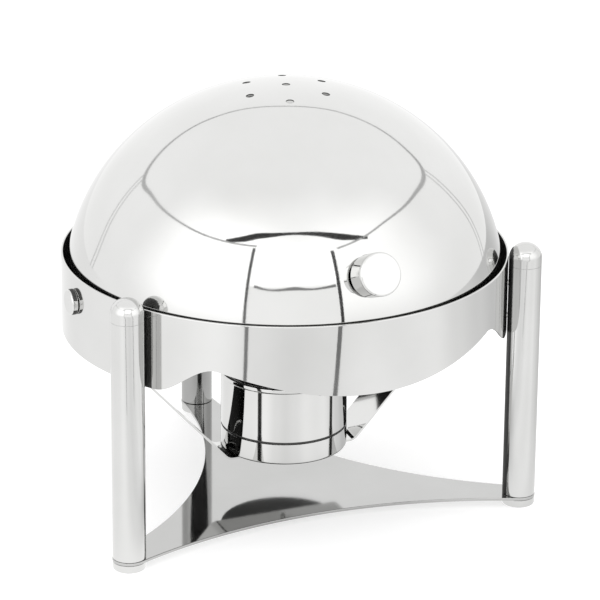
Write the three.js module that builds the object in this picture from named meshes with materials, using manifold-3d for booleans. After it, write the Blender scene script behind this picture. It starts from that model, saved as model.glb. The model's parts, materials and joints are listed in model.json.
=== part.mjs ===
// Round roll-top chafing dish on a three-legged stand.
//
// Millimetres, +Z up, -Y is the front where the knob is. Everything is laid out
// about the dome's vertical axis, with the floor at z = 0. The whole assembly is
// then shifted along Y, so that the origin is the bottom centre of its box.

import * as THREE from 'three';
import { mergeVertices } from 'three/addons/utils/BufferGeometryUtils.js';
import Module from 'manifold-3d';

const wasm = await Module();
wasm.setup();

// ---------------------------------------------------------------- dimensions

const DEGREE = Math.PI / 180;
const GAP = 0.3;

const AXIS_Y = -8.54;

const BAND_OUTER = 218;
const BAND_WALL = 1.4;
const BAND_INNER = BAND_OUTER - BAND_WALL;
const BAND_TOP = 259;
const BAND_BOTTOM = 182;
const APRON_LOBE_BOTTOM = 187;
const APRON_PEAK = 211;
const APRON_PEAK_ANGLE = 40 * DEGREE;
const APRON_END_ANGLE = 57 * DEGREE;

const LEG_RADIUS = 16;
const LEG_WALL = 1.5;
const LEG_CIRCLE = BAND_OUTER + GAP + LEG_RADIUS;
const FRONT_LEG_ANGLE = 61.5 * DEGREE;
const LEG_SEAM = 251.5;
const LEG_SHOULDER = 259;
const LEG_TOP = 273.5;
const LEG_BOLT_HEIGHTS = { lower: 198, upper: 232 };

const PLATE_TOP = 11;
const PLATE_THICKNESS = 3;
const PLATE_BOTTOM = PLATE_TOP - PLATE_THICKNESS;
const PLATE_CORNER = LEG_RADIUS + 0.3;
const PLATE_APOTHEM = 84;

const PIVOT_HEIGHT = 233;
const PIVOT_PIN_RADIUS = 4;
const PIVOT_CAP_RADIUS = 12.5;

const DOME_RADIUS = 213.5;
const DOME_HEIGHT = 203;
const DOME_WALL = 1;
const DOME_RIM = 222;
const VENT_RADIUS = 3.5;
const VENT_CIRCLE = 42;
const VENT_START = -17.7 * DEGREE;
const KNOB_ELEVATION = 21.6 * DEGREE;
const KNOB_RADIUS = 20.8;
const KNOB_LENGTH = 25;
const KNOB_NECK = 5;

const RING_RADIUS = 186;
const RING_WALL = 1.6;
const RING_TOP = 245.5;
const RING_BOTTOM = 224;
const RING_SCREW_HEIGHT = 234;
const BRACKET_FLOOR = 216;

const WATER_PAN = { rim: 183, wall: 174, top: 246.8, bottom: 187, corner: 30, sheet: 1 };
const FOOD_PAN = { rim: 178, wall: 169, top: 248.1, bottom: 200, corner: 26, sheet: 1 };

const STRAP_WIDTH = 43;
const STRAP_THICKNESS = 2;
const STRAP_BOTTOM = 52.7;
const STRAP_FLAT = 67;
const STRAP_SLOPE = 47.3 * DEGREE;
const STRAP_TAB = 181.8;
const STRAP_TOP = 243;

const TRAY_RADIUS = 62.5;
const TRAY_BOTTOM = 55;
const TRAY_TOP = 76;
const CUP_RADIUS = 62.3;
const CUP_FOOT_RADIUS = 60.8;
const CUP_BOTTOM = 59.2;
const CUP_TOP = 134.5;
const CUP_WALL = 1.2;
const CAN_RADIUS = 43;
const CAN_TOP = 123;
const SNUFFER_RADIUS = 58;
const SNUFFER_PIVOT = 53;

const SCREW_RADIUS = 2.5;
const SCREW_HOLE = 2.8;
const SCREW_HEAD = 5;

const ROUND_BIG = 48;
const ROUND_BAND = 60;
const ROUND_BURNER = 32;
const ROUND_LEG = 16;
const ROUND_SMALL = 8;

// ----------------------------------------------------------------- materials

function steel(color, roughness) {
  return new THREE.MeshStandardMaterial({ color, roughness, metalness: 1 });
}

function plastic(color, roughness) {
  return new THREE.MeshStandardMaterial({ color, roughness, metalness: 0 });
}

const mirrorSteel = () => steel(0xd6d6d4, 0.05);
const satinSteel = () => steel(0xc4c4c2, 0.3);
const fastenerSteel = () => steel(0xa9a9a8, 0.35);
const rubber = () => plastic(0x161616, 0.8);
const nylon = () => plastic(0xe4e0d6, 0.5);
const canMetal = () => steel(0xb9b6ae, 0.4);
const gel = () => plastic(0xc9788c, 0.25);

// ------------------------------------------------------------ solid geometry

// Merges shared vertices, drops the triangles that collapse on an axis, and
// turns the faces outwards.
function solid(geometry) {
  geometry.deleteAttribute('normal');
  geometry.deleteAttribute('uv');
  const merged = mergeVertices(geometry, 1e-4);
  const index = [];
  for (let i = 0; i < merged.index.count; i += 3) {
    const [a, b, c] = [0, 1, 2].map((k) => merged.index.getX(i + k));
    if (a !== b && b !== c && c !== a) {
      index.push(a, b, c);
    }
  }
  const positions = merged.getAttribute('position');
  const [p, q, r] = [new THREE.Vector3(), new THREE.Vector3(), new THREE.Vector3()];
  let volume = 0;
  for (let i = 0; i < index.length; i += 3) {
    p.fromBufferAttribute(positions, index[i]);
    q.fromBufferAttribute(positions, index[i + 1]);
    r.fromBufferAttribute(positions, index[i + 2]);
    volume += p.dot(q.cross(r));
  }
  if (volume < 0) {
    index.reverse();
  }
  merged.setIndex(index);
  return merged;
}

function toManifold(geometry) {
  return new wasm.Manifold(new wasm.Mesh({
    numProp: 3,
    vertProperties: new Float32Array(geometry.getAttribute('position').array),
    triVerts: new Uint32Array(geometry.index.array),
  }));
}

function fromManifold(manifold) {
  const mesh = manifold.getMesh();
  const geometry = new THREE.BufferGeometry();
  geometry.setAttribute('position', new THREE.BufferAttribute(mesh.vertProperties, 3));
  geometry.setIndex(new THREE.BufferAttribute(mesh.triVerts, 1));
  return geometry;
}

function cut(geometry, ...tools) {
  let result = toManifold(geometry);
  for (const tool of tools) {
    result = result.subtract(toManifold(tool));
  }
  return fromManifold(result);
}

// A profile of [radius, height] pairs turned about the Z axis.
function turned(profile, segments) {
  const points = profile.map(([radius, height]) => new THREE.Vector2(radius, height));
  const geometry = new THREE.LatheGeometry(points, segments);
  return solid(geometry.rotateX(Math.PI / 2));
}

// A ring of rectangular section.
function ring(inner, outer, bottom, top, segments) {
  const section = [[inner, bottom], [outer, bottom], [outer, top], [inner, top]];
  return turned([...section, section[0]], segments);
}

function disc(radius, bottom, top, segments) {
  return turned([[0, bottom], [radius, bottom], [radius, top], [0, top]], segments);
}

// Turns a piece that stands along Z so that it lies along X.
function alongX(geometry) {
  return geometry.rotateY(Math.PI / 2);
}

// A rod along X, used as a drill or a pin.
function rodAlongX(radius, from, to, segments = ROUND_SMALL) {
  return alongX(disc(radius, from, to, segments));
}

// An outline of [x, z] points, given a width that is centred on y = 0.
function plateAcross(outline, width) {
  const shape = new THREE.Shape(outline.map(([x, z]) => new THREE.Vector2(x, z)));
  const geometry = new THREE.ExtrudeGeometry(shape, { depth: width, bevelEnabled: false });
  geometry.translate(0, 0, -width / 2);
  return solid(geometry.rotateX(Math.PI / 2));
}

// Points on an ellipse, from angle `from` to angle `to`. The ends of a quarter
// that stands on the axis are kept exactly on it.
function arcPoints(centreX, centreZ, radiusX, radiusZ, from, to, steps) {
  const points = [];
  for (let i = 0; i <= steps; i += 1) {
    const angle = from + ((to - from) * i) / steps;
    const x = Math.abs(angle) === Math.PI / 2 ? 0 : radiusX * Math.cos(angle);
    points.push([centreX + x, centreZ + radiusZ * Math.sin(angle)]);
  }
  return points;
}

// ------------------------------------------------------------ scene assembly

const assembly = new THREE.Group();
assembly.position.set(0, AXIS_Y, 0);

function add(name, geometry, material, parent = assembly) {
  const mesh = new THREE.Mesh(geometry, material);
  mesh.name = name;
  parent.add(mesh);
  return mesh;
}

// A group whose local +X points outwards at this angle from the front.
function spoke(angleFromFront) {
  const group = new THREE.Group();
  group.rotation.z = angleFromFront - Math.PI / 2;
  assembly.add(group);
  return group;
}

const LEGS = [
  { side: 'front_left', angle: -FRONT_LEG_ANGLE },
  { side: 'front_right', angle: FRONT_LEG_ANGLE },
  { side: 'back', angle: Math.PI },
];

const SIDES = [
  { side: 'left', angle: -Math.PI / 2, strut: -FRONT_LEG_ANGLE },
  { side: 'right', angle: Math.PI / 2, strut: FRONT_LEG_ANGLE },
];

function legCentre(angle) {
  return new THREE.Vector2(LEG_CIRCLE * Math.sin(angle), -LEG_CIRCLE * Math.cos(angle));
}

// A machine screw along local X, with its head at one end and its tip at the
// other. It points outwards when the tip is further out than the head.
function screwAlongX(headEnd, headFace, tip) {
  return alongX(turned([
    [0, headEnd],
    [SCREW_HEAD, headEnd],
    [SCREW_HEAD, headFace],
    [SCREW_RADIUS, headFace],
    [SCREW_RADIUS, tip],
    [0, tip],
  ], ROUND_SMALL));
}

// A drill along X at a height, for a screw between two pieces of sheet.
function screwDrill(from, to, height) {
  return rodAlongX(SCREW_HOLE, from, to).translate(0, 0, height);
}

// --------------------------------------------------------------------- stand

// The edge between two neighbouring legs is an arc that curves inwards. It
// comes within PLATE_APOTHEM of the axis and is tangent to both round corners.
function plateEdge(legA, legB) {
  const a = legCentre(legA.angle);
  const b = legCentre(legB.angle);
  const middle = a.clone().add(b).multiplyScalar(0.5);
  const reach = middle.length();
  const excess = 2 * (PLATE_APOTHEM - reach - PLATE_CORNER);
  const known = PLATE_CORNER ** 2 - PLATE_APOTHEM ** 2 - LEG_CIRCLE ** 2 + 2 * PLATE_APOTHEM * reach;
  const radius = known / excess;
  const centre = middle.clone().normalize().multiplyScalar(PLATE_APOTHEM + radius);
  return { radius, centre };
}

function basePlate() {
  const corners = [LEGS[1], LEGS[2], LEGS[0]];
  const edges = corners.map((corner, i) => plateEdge(corner, corners[(i + 1) % 3]));
  const shape = new THREE.Shape();
  corners.forEach((corner, i) => {
    const centre = legCentre(corner.angle);
    const before = edges[(i + 2) % 3].centre;
    const after = edges[i].centre;
    const next = legCentre(corners[(i + 1) % 3].angle);
    const arrive = before.clone().sub(centre).angle();
    const leave = after.clone().sub(centre).angle();
    shape.absarc(centre.x, centre.y, PLATE_CORNER, arrive, leave, false);
    const edgeFrom = centre.clone().sub(after).angle();
    const edgeTo = next.clone().sub(after).angle();
    shape.absarc(after.x, after.y, edges[i].radius, edgeFrom, edgeTo, true);
    const hole = new THREE.Path();
    hole.absarc(centre.x, centre.y, 3.2, 0, 2 * Math.PI, false);
    shape.holes.push(hole);
  });
  const options = { depth: PLATE_THICKNESS, bevelEnabled: false, curveSegments: 7 };
  const geometry = new THREE.ExtrudeGeometry(shape, options);
  add('base_plate', solid(geometry.translate(0, 0, PLATE_BOTTOM)), mirrorSteel());
}

function legFoot(group, side) {
  const rounding = arcPoints(LEG_RADIUS - 2.5, 2.5, 2.5, 2.5, -Math.PI / 2, 0, 2);
  const profile = [
    [3.2, 5.3],
    [7, 5.3],
    [7, 0],
    ...rounding,
    [LEG_RADIUS, PLATE_BOTTOM - GAP],
    [3.2, PLATE_BOTTOM - GAP],
    [3.2, 5.3],
  ];
  add(`foot_${side}`, turned(profile, ROUND_LEG), mirrorSteel(), group);
}

function footScrew(group, side) {
  const profile = [[0, 1.3], [6, 1.3], [6, 5], [2.9, 5], [2.9, 22], [0, 22]];
  add(`foot_screw_${side}`, turned(profile, ROUND_SMALL), fastenerSteel(), group);
}

function legTube(group, side) {
  const tube = ring(LEG_RADIUS - LEG_WALL, LEG_RADIUS, PLATE_TOP + GAP, LEG_SEAM - GAP, ROUND_LEG);
  const drills = Object.values(LEG_BOLT_HEIGHTS).map(
    (height) => screwDrill(-20, -10, height),
  );
  add(`leg_tube_${side}`, cut(tube, ...drills), mirrorSteel(), group);
}

function legPlug(group, side) {
  const plug = ring(3.2, LEG_RADIUS - LEG_WALL - GAP, PLATE_TOP + GAP, 23, ROUND_LEG);
  add(`leg_plug_${side}`, plug, fastenerSteel(), group);
}

function legCap(group, side) {
  const plugRadius = LEG_RADIUS - LEG_WALL - GAP;
  const dome = arcPoints(0, LEG_SHOULDER, LEG_RADIUS, LEG_TOP - LEG_SHOULDER, 0, Math.PI / 2, 4);
  const profile = [
    [0, LEG_SEAM - 8],
    [plugRadius, LEG_SEAM - 8],
    [plugRadius, LEG_SEAM],
    [LEG_RADIUS, LEG_SEAM],
    ...dome.slice(0, -1),
    [0, LEG_TOP],
  ];
  add(`leg_cap_${side}`, turned(profile, ROUND_LEG), mirrorSteel(), group);
}

// The lower bolt of a front leg also holds a strut, so its head sits further in.
function legBolts(group, side) {
  for (const [place, height] of Object.entries(LEG_BOLT_HEIGHTS)) {
    const throughStrut = place === 'lower' && side !== 'back';
    const head = BAND_INNER - GAP - (throughStrut ? 2.8 : 0.3) - LEG_CIRCLE;
    const bolt = screwAlongX(head - 1.6, head, 6 + LEG_WALL - LEG_RADIUS);
    add(`leg_bolt_${place}_${side}`, bolt.translate(0, 0, height), fastenerSteel(), group);
  }
}

function buildLegs() {
  for (const { side, angle } of LEGS) {
    const group = new THREE.Group();
    const centre = legCentre(angle);
    group.position.set(centre.x, centre.y, 0);
    group.rotation.z = angle - Math.PI / 2;
    assembly.add(group);
    legFoot(group, side);
    footScrew(group, side);
    legTube(group, side);
    legPlug(group, side);
    legCap(group, side);
    legBolts(group, side);
  }
}

// ---------------------------------------------------------------------- band

// Height of the band's lower edge at an angle from the front. A shallow lobe
// hangs in the middle, rises to a peak on each side and drops beside the legs.
function apronEdge(angle) {
  const turn = Math.abs(angle);
  if (turn <= APRON_PEAK_ANGLE) {
    const rise = 1 - Math.cos((turn / APRON_PEAK_ANGLE) * (Math.PI / 2));
    return APRON_LOBE_BOTTOM + (APRON_PEAK - APRON_LOBE_BOTTOM) * rise;
  }
  const progress = (turn - APRON_PEAK_ANGLE) / (APRON_END_ANGLE - APRON_PEAK_ANGLE);
  const fall = (1 + Math.cos(Math.PI * progress)) / 2;
  return BAND_BOTTOM + (APRON_PEAK - BAND_BOTTOM) * fall;
}

// The solid that is cut away under the apron, seen from the front.
function apronCutter() {
  const steps = 30;
  const outline = [];
  for (let i = 0; i <= steps; i += 1) {
    const angle = APRON_END_ANGLE * ((2 * i) / steps - 1);
    outline.push([BAND_OUTER * Math.sin(angle), apronEdge(angle)]);
  }
  outline[0][1] = BAND_BOTTOM - 1;
  outline[steps][1] = BAND_BOTTOM - 1;
  return plateAcross(outline, 160).translate(0, -170, 0);
}

function band() {
  const tube = ring(BAND_INNER, BAND_OUTER, BAND_BOTTOM, BAND_TOP, ROUND_BAND);
  const drills = [rodAlongX(PIVOT_PIN_RADIUS + GAP, -250, 250).translate(0, 0, PIVOT_HEIGHT)];
  for (const { angle } of LEGS) {
    for (const height of Object.values(LEG_BOLT_HEIGHTS)) {
      drills.push(screwDrill(205, 230, height).rotateZ(angle - Math.PI / 2));
    }
  }
  add('ring_band', cut(tube, apronCutter(), ...drills), mirrorSteel());
}

// -------------------------------------------------------------- inside frame

function supportRing() {
  const inner = RING_RADIUS - RING_WALL;
  const seat = RING_TOP - 1.5;
  const profile = [
    [176, seat],
    [inner, seat],
    [inner, RING_BOTTOM],
    [RING_RADIUS, RING_BOTTOM],
    [RING_RADIUS, RING_TOP],
    [176, RING_TOP],
    [176, seat],
  ];
  const drills = [];
  for (const { angle, strut } of SIDES) {
    for (const turn of [angle, strut]) {
      drills.push(screwDrill(170, 200, RING_SCREW_HEIGHT).rotateZ(turn - Math.PI / 2));
    }
  }
  add('support_ring', cut(turned(profile, ROUND_BIG), ...drills), satinSteel());
}

// A strut runs from the band, where the lower leg bolt holds it, under the
// lid's rim to the support ring.
function frontStrut({ side, strut }) {
  const group = spoke(strut);
  const outer = BAND_INNER - 0.7;
  const outline = [
    [186.5, BRACKET_FLOOR],
    [outer - 2, BRACKET_FLOOR],
    [outer - 2, 190],
    [outer, 190],
    [outer, BRACKET_FLOOR + 2],
    [188.5, BRACKET_FLOOR + 2],
    [188.5, 243],
    [186.5, 243],
  ];
  const drills = [
    screwDrill(205, 230, LEG_BOLT_HEIGHTS.lower),
    screwDrill(170, 200, RING_SCREW_HEIGHT),
  ];
  add(`front_strut_${side}`, cut(plateAcross(outline, 24), ...drills), satinSteel(), group);

  const screw = screwAlongX(191, 188.8, 179).translate(0, 0, RING_SCREW_HEIGHT);
  add(`strut_screw_${side}`, screw, fastenerSteel(), group);

  const bumper = solid(new THREE.BoxGeometry(6, 12, 3.4)).translate(210.5, 0, 220);
  add(`lid_bumper_${side}`, bumper, rubber(), group);
}

// A channel that carries the pivot pin on its outer cheek and is screwed to
// the support ring, together with the end of the burner strap.
function pivotBracket({ side, angle }) {
  const group = spoke(angle);
  const outline = [
    [186.5, BRACKET_FLOOR],
    [206, BRACKET_FLOOR],
    [206, 246],
    [204, 246],
    [204, BRACKET_FLOOR + 2],
    [188.5, BRACKET_FLOOR + 2],
    [188.5, 243],
    [186.5, 243],
  ];
  const drills = [
    rodAlongX(PIVOT_PIN_RADIUS + GAP, 200, 210).translate(0, 0, PIVOT_HEIGHT),
    screwDrill(170, 195, RING_SCREW_HEIGHT),
  ];
  add(`pivot_bracket_${side}`, cut(plateAcross(outline, 28), ...drills), satinSteel(), group);

  const pin = alongX(turned([
    [0, 200],
    [6.5, 200],
    [6.5, 203.7],
    [PIVOT_PIN_RADIUS, 203.7],
    [PIVOT_PIN_RADIUS, 222],
    [0, 222],
  ], ROUND_SMALL));
  add(`pivot_pin_${side}`, pin.translate(0, 0, PIVOT_HEIGHT), fastenerSteel(), group);

  const spacer = alongX(ring(PIVOT_PIN_RADIUS + GAP, 9, 214, 216, ROUND_LEG));
  add(`pivot_spacer_${side}`, spacer.translate(0, 0, PIVOT_HEIGHT), nylon(), group);

  const capFace = BAND_OUTER + 6.5;
  const cap = alongX(turned([
    [0, 222.3],
    [PIVOT_PIN_RADIUS + GAP, 222.3],
    [PIVOT_PIN_RADIUS + GAP, BAND_OUTER + GAP],
    [PIVOT_CAP_RADIUS, BAND_OUTER + GAP],
    [PIVOT_CAP_RADIUS, capFace - 2.5],
    [PIVOT_CAP_RADIUS - 2.5, capFace],
    [0, capFace],
  ], ROUND_LEG));
  add(`pivot_cap_${side}`, cap.translate(0, 0, PIVOT_HEIGHT), mirrorSteel(), group);

  const screw = screwAlongX(191, 188.8, 178).translate(0, 0, RING_SCREW_HEIGHT);
  add(`strap_screw_${side}`, screw, fastenerSteel(), group);
}

// ----------------------------------------------------------------------- lid

function domeShell() {
  const innerRadius = DOME_RADIUS - DOME_WALL;
  const innerHeight = DOME_HEIGHT - DOME_WALL;
  const outer = arcPoints(0, DOME_RIM, DOME_RADIUS, DOME_HEIGHT, Math.PI / 2, 0, 8);
  const inner = arcPoints(0, DOME_RIM, innerRadius, innerHeight, 0, Math.PI / 2, 8);
  const shell = turned([...outer, ...inner], ROUND_BIG);
  const seat = knobSeat();
  const screwHole = disc(SCREW_HOLE, -10, 10, ROUND_SMALL).applyQuaternion(seat.turn);
  const drills = [
    rodAlongX(6.3, -220, 220, ROUND_LEG).translate(0, 0, PIVOT_HEIGHT),
    screwHole.translate(seat.base.x, seat.base.y, seat.base.z),
    disc(VENT_RADIUS, 400, 440, ROUND_SMALL),
  ];
  for (let i = 0; i < 6; i += 1) {
    const angle = VENT_START + i * 60 * DEGREE;
    const vent = disc(VENT_RADIUS, 400, 440, ROUND_SMALL);
    drills.push(vent.translate(VENT_CIRCLE * Math.sin(angle), -VENT_CIRCLE * Math.cos(angle), 0));
  }
  add('lid_dome', cut(shell, ...drills), mirrorSteel());
}

// Where the knob meets the dome, and the turn that points +Z out of the dome.
function knobSeat() {
  const cosine = Math.cos(KNOB_ELEVATION);
  const sine = Math.sin(KNOB_ELEVATION);
  const base = new THREE.Vector3(0, -DOME_RADIUS * cosine, DOME_RIM + DOME_HEIGHT * sine);
  const outwards = new THREE.Vector3(0, -cosine / DOME_RADIUS, sine / DOME_HEIGHT).normalize();
  const turn = new THREE.Quaternion().setFromUnitVectors(new THREE.Vector3(0, 0, 1), outwards);
  return { base, turn };
}

function knob() {
  const seat = knobSeat();
  const group = new THREE.Group();
  group.position.copy(seat.base);
  group.quaternion.copy(seat.turn);
  assembly.add(group);

  const neck = ring(SCREW_RADIUS + GAP, 9, 0.6, KNOB_NECK, ROUND_LEG);
  add('knob_neck', neck, mirrorSteel(), group);

  const back = KNOB_NECK + GAP;
  const front = back + KNOB_LENGTH;
  const body = turned([
    [0, 21],
    [SCREW_RADIUS + GAP, 21],
    [SCREW_RADIUS + GAP, back],
    [KNOB_RADIUS - 1.5, back],
    [KNOB_RADIUS, back + 1.5],
    ...arcPoints(KNOB_RADIUS - 3, front - 3, 3, 3, 0, Math.PI / 2, 3),
    [0, front],
  ], 24);
  add('lid_knob', body, mirrorSteel(), group);

  const screw = turned([
    [0, -5],
    [6, -5],
    [6, -2],
    [SCREW_RADIUS, -2],
    [SCREW_RADIUS, 20],
    [0, 20],
  ], ROUND_SMALL);
  add('knob_screw', screw, fastenerSteel(), group);
}

// The ear backs up the dome at the pivot, and the bush runs on the pin.
function lidPivot({ side, angle }) {
  const group = spoke(angle);
  const ear = alongX(ring(6.3, 14, 206.7, 208.3, ROUND_LEG));
  add(`lid_ear_${side}`, ear.translate(0, 0, PIVOT_HEIGHT), satinSteel(), group);
  const bush = alongX(ring(PIVOT_PIN_RADIUS + GAP, 6, 206.6, 213.5, ROUND_LEG));
  add(`lid_bush_${side}`, bush.translate(0, 0, PIVOT_HEIGHT), nylon(), group);
}

// ---------------------------------------------------------------------- pans

// A round pan of sheet metal with a flat rim, a straight wall and a rounded
// corner down to its flat bottom.
function pan({ rim, wall, top, bottom, corner, sheet }) {
  const cornerX = wall - corner;
  const cornerZ = bottom + corner;
  const outside = arcPoints(cornerX, cornerZ, corner, corner, -Math.PI / 2, 0, 3);
  const inside = arcPoints(cornerX, cornerZ, corner - sheet, corner - sheet, 0, -Math.PI / 2, 3);
  return turned([
    [0, bottom],
    ...outside,
    [wall, top - sheet],
    [rim, top - sheet],
    [rim, top],
    [wall - sheet, top],
    ...inside,
    [0, bottom + sheet],
  ], ROUND_BIG);
}

// -------------------------------------------------------------------- burner

// The strap's middle line: flat under the tray, then up each arm, then upright
// against the support ring.
function strapLine() {
  const middle = STRAP_BOTTOM + STRAP_THICKNESS / 2;
  const rise = (STRAP_TAB - STRAP_FLAT) * Math.tan(STRAP_SLOPE);
  const half = [
    [STRAP_FLAT, middle],
    [STRAP_TAB, middle + rise],
    [STRAP_TAB, STRAP_TOP],
  ];
  const mirrored = half.map(([x, z]) => [-x, z]).reverse();
  return [...mirrored, ...half];
}

// Moves a polyline sideways by `offset`, keeping its corners sharp.
function offsetLine(line, offset) {
  const points = line.map(([x, z]) => new THREE.Vector2(x, z));
  const normals = points.slice(1).map((point, i) => {
    const along = point.clone().sub(points[i]).normalize();
    return new THREE.Vector2(-along.y, along.x);
  });
  return points.map((point, i) => {
    const before = normals[Math.max(i - 1, 0)];
    const after = normals[Math.min(i, normals.length - 1)];
    const mitre = before.clone().add(after).normalize();
    const moveBy = offset / mitre.dot(after);
    return [point.x + mitre.x * moveBy, point.y + mitre.y * moveBy];
  });
}

function burnerStrap() {
  const line = strapLine();
  const above = offsetLine(line, STRAP_THICKNESS / 2);
  const below = offsetLine(line, -STRAP_THICKNESS / 2).reverse();
  const drills = [
    screwDrill(-200, 200, RING_SCREW_HEIGHT),
    disc(SCREW_HOLE, 40, 60, ROUND_SMALL),
  ];
  const strap = plateAcross([...above, ...below], STRAP_WIDTH);
  add('burner_strap', cut(strap, ...drills), mirrorSteel());
}

function burnerTray() {
  const inner = TRAY_RADIUS - CUP_WALL;
  const tray = turned([
    [0, TRAY_BOTTOM],
    [TRAY_RADIUS - 2, TRAY_BOTTOM],
    [TRAY_RADIUS, TRAY_BOTTOM + 2],
    [TRAY_RADIUS, TRAY_TOP],
    [inner, TRAY_TOP],
    [inner, TRAY_BOTTOM + 1.5],
    [0, TRAY_BOTTOM + 1.5],
  ], ROUND_BURNER);
  add('burner_tray', cut(tray, disc(SCREW_HOLE, 50, 60, ROUND_SMALL)), mirrorSteel());
  const screw = turned([
    [0, 46],
    [SCREW_RADIUS, 46],
    [SCREW_RADIUS, 56.8],
    [6, 56.8],
    [6, 58.8],
    [0, 58.8],
  ], ROUND_SMALL);
  add('tray_screw', screw, fastenerSteel());
}

function burnerCup() {
  const shoulder = TRAY_TOP + 0.4;
  const inner = CUP_RADIUS - CUP_WALL;
  const footInner = CUP_FOOT_RADIUS - CUP_WALL;
  const cup = turned([
    [0, CUP_BOTTOM],
    [CUP_FOOT_RADIUS, CUP_BOTTOM],
    [CUP_FOOT_RADIUS, shoulder],
    [CUP_RADIUS, shoulder],
    [CUP_RADIUS, CUP_TOP - 5],
    [CUP_RADIUS + 1.2, CUP_TOP - 4],
    [CUP_RADIUS + 1.2, CUP_TOP - 1],
    [CUP_RADIUS, CUP_TOP],
    [inner, CUP_TOP],
    [inner, shoulder + 1.2],
    [footInner, shoulder + 1.2],
    [footInner, CUP_BOTTOM + CUP_WALL],
    [0, CUP_BOTTOM + CUP_WALL],
  ], ROUND_BURNER);
  add('burner_cup', cup, mirrorSteel());
  const collar = ring(CAN_RADIUS + 2, inner - GAP, CUP_TOP - 1.5, CUP_TOP - 0.3, ROUND_BURNER);
  const pinHole = disc(2.3, 120, 140, ROUND_SMALL).translate(0, SNUFFER_PIVOT, 0);
  add('burner_collar', cut(collar, pinHole), satinSteel());
}

function fuelCan() {
  const bottom = CUP_BOTTOM + CUP_WALL + GAP;
  const inner = CAN_RADIUS - 0.8;
  const can = turned([
    [0, bottom],
    [CAN_RADIUS, bottom],
    [CAN_RADIUS, CAN_TOP],
    [inner, CAN_TOP],
    [inner, bottom + 0.8],
    [0, bottom + 0.8],
  ], ROUND_BURNER);
  add('fuel_can', can, canMetal());
  add('fuel_gel', disc(inner - GAP, bottom + 1.1, CAN_TOP - 13, ROUND_BURNER), gel());
}

// The lid that smothers the flame turns on a pin at the back of the cup, and
// its rod handle points to the front.
function snuffer() {
  const bottom = CUP_TOP + 0.5;
  const top = bottom + 1.5;
  const pinHole = disc(2.3, 130, 150, ROUND_SMALL).translate(0, SNUFFER_PIVOT, 0);
  const lid = disc(SNUFFER_RADIUS, bottom, top, ROUND_BURNER);
  add('snuffer_lid', cut(lid, pinHole), satinSteel());
  const pin = turned([
    [0, 130],
    [2, 130],
    [2, top + GAP],
    [4, top + GAP],
    [4, top + 2],
    [0, top + 2],
  ], ROUND_SMALL);
  add('snuffer_pin', pin.translate(0, SNUFFER_PIVOT, 0), fastenerSteel());
  const handle = turned([
    [0, 36],
    [2.5, 36],
    [2.5, 80],
    [4, 82],
    [4, 90],
    [0, 92],
  ], ROUND_SMALL);
  const rod = handle.rotateX(Math.PI / 2).translate(0, 0, top + GAP + 4);
  add('snuffer_handle', rod, fastenerSteel());
}

// --------------------------------------------------------------------- build

basePlate();
buildLegs();
band();
supportRing();
SIDES.forEach(frontStrut);
SIDES.forEach(pivotBracket);
domeShell();
knob();
SIDES.forEach(lidPivot);
add('water_pan', pan(WATER_PAN), satinSteel());
add('food_pan', pan(FOOD_PAN), satinSteel());
burnerStrap();
burnerTray();
burnerCup();
fuelCan();
snuffer();

export default assembly;
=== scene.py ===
"""Studio scene of a round roll-top chafing dish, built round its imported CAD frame.

Sizes in the tables below are millimetres about the lid's vertical axis, with the
floor at zero. Meshes are made in metres, in the frame's own coordinates.
"""

import json
import math

import bmesh
import bpy
from mathutils import Matrix, Quaternion, Vector


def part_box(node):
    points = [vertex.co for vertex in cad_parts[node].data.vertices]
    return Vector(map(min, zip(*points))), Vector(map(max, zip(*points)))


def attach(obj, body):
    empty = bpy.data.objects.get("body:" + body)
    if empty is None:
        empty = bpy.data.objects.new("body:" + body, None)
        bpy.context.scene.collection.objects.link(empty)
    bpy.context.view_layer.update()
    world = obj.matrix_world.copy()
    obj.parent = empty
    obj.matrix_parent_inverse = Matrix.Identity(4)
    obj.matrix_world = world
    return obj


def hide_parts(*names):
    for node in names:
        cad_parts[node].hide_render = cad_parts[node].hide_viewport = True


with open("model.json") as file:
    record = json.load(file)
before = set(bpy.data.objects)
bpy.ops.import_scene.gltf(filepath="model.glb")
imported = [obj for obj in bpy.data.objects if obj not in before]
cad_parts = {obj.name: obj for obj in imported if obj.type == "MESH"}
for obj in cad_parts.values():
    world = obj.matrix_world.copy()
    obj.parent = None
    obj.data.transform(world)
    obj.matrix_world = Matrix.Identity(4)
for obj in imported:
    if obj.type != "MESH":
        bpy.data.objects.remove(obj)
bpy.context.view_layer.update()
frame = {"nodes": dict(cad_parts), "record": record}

# -------------------------------------------------------------------- sizes

MM = 0.001
dome_low, dome_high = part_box("lid_dome")
AXIS = (dome_low + dome_high) / 2
AXIS.z = 0.0

BAND_OUTER = 218.0
BAND_WALL = 1.4
BAND_TOP = 259.0
BAND_BOTTOM = 182.0
BAND_HEM = 0.8
APRON_LOBE_BOTTOM = 187.0
APRON_PEAK = 211.0
APRON_PEAK_ANGLE = math.radians(40)
APRON_END_ANGLE = math.radians(57)

LEG_RADIUS = 16.0
LEG_CIRCLE = BAND_OUTER + 0.3 + LEG_RADIUS
LEG_SEAM = 251.5
LEG_SHOULDER = 259.0
LEG_TOP = 273.5
LEGS = {
    "front_left": math.radians(-61.5),
    "front_right": math.radians(61.5),
    "back": math.pi,
}
SIDES = {"left": -math.pi / 2, "right": math.pi / 2}
STRUTS = {"left": LEGS["front_left"], "right": LEGS["front_right"]}

PLATE_TOP = 11.0
PLATE_BOTTOM = 8.0
PLATE_CORNER = 16.3
PLATE_APOTHEM = 84.0

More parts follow.
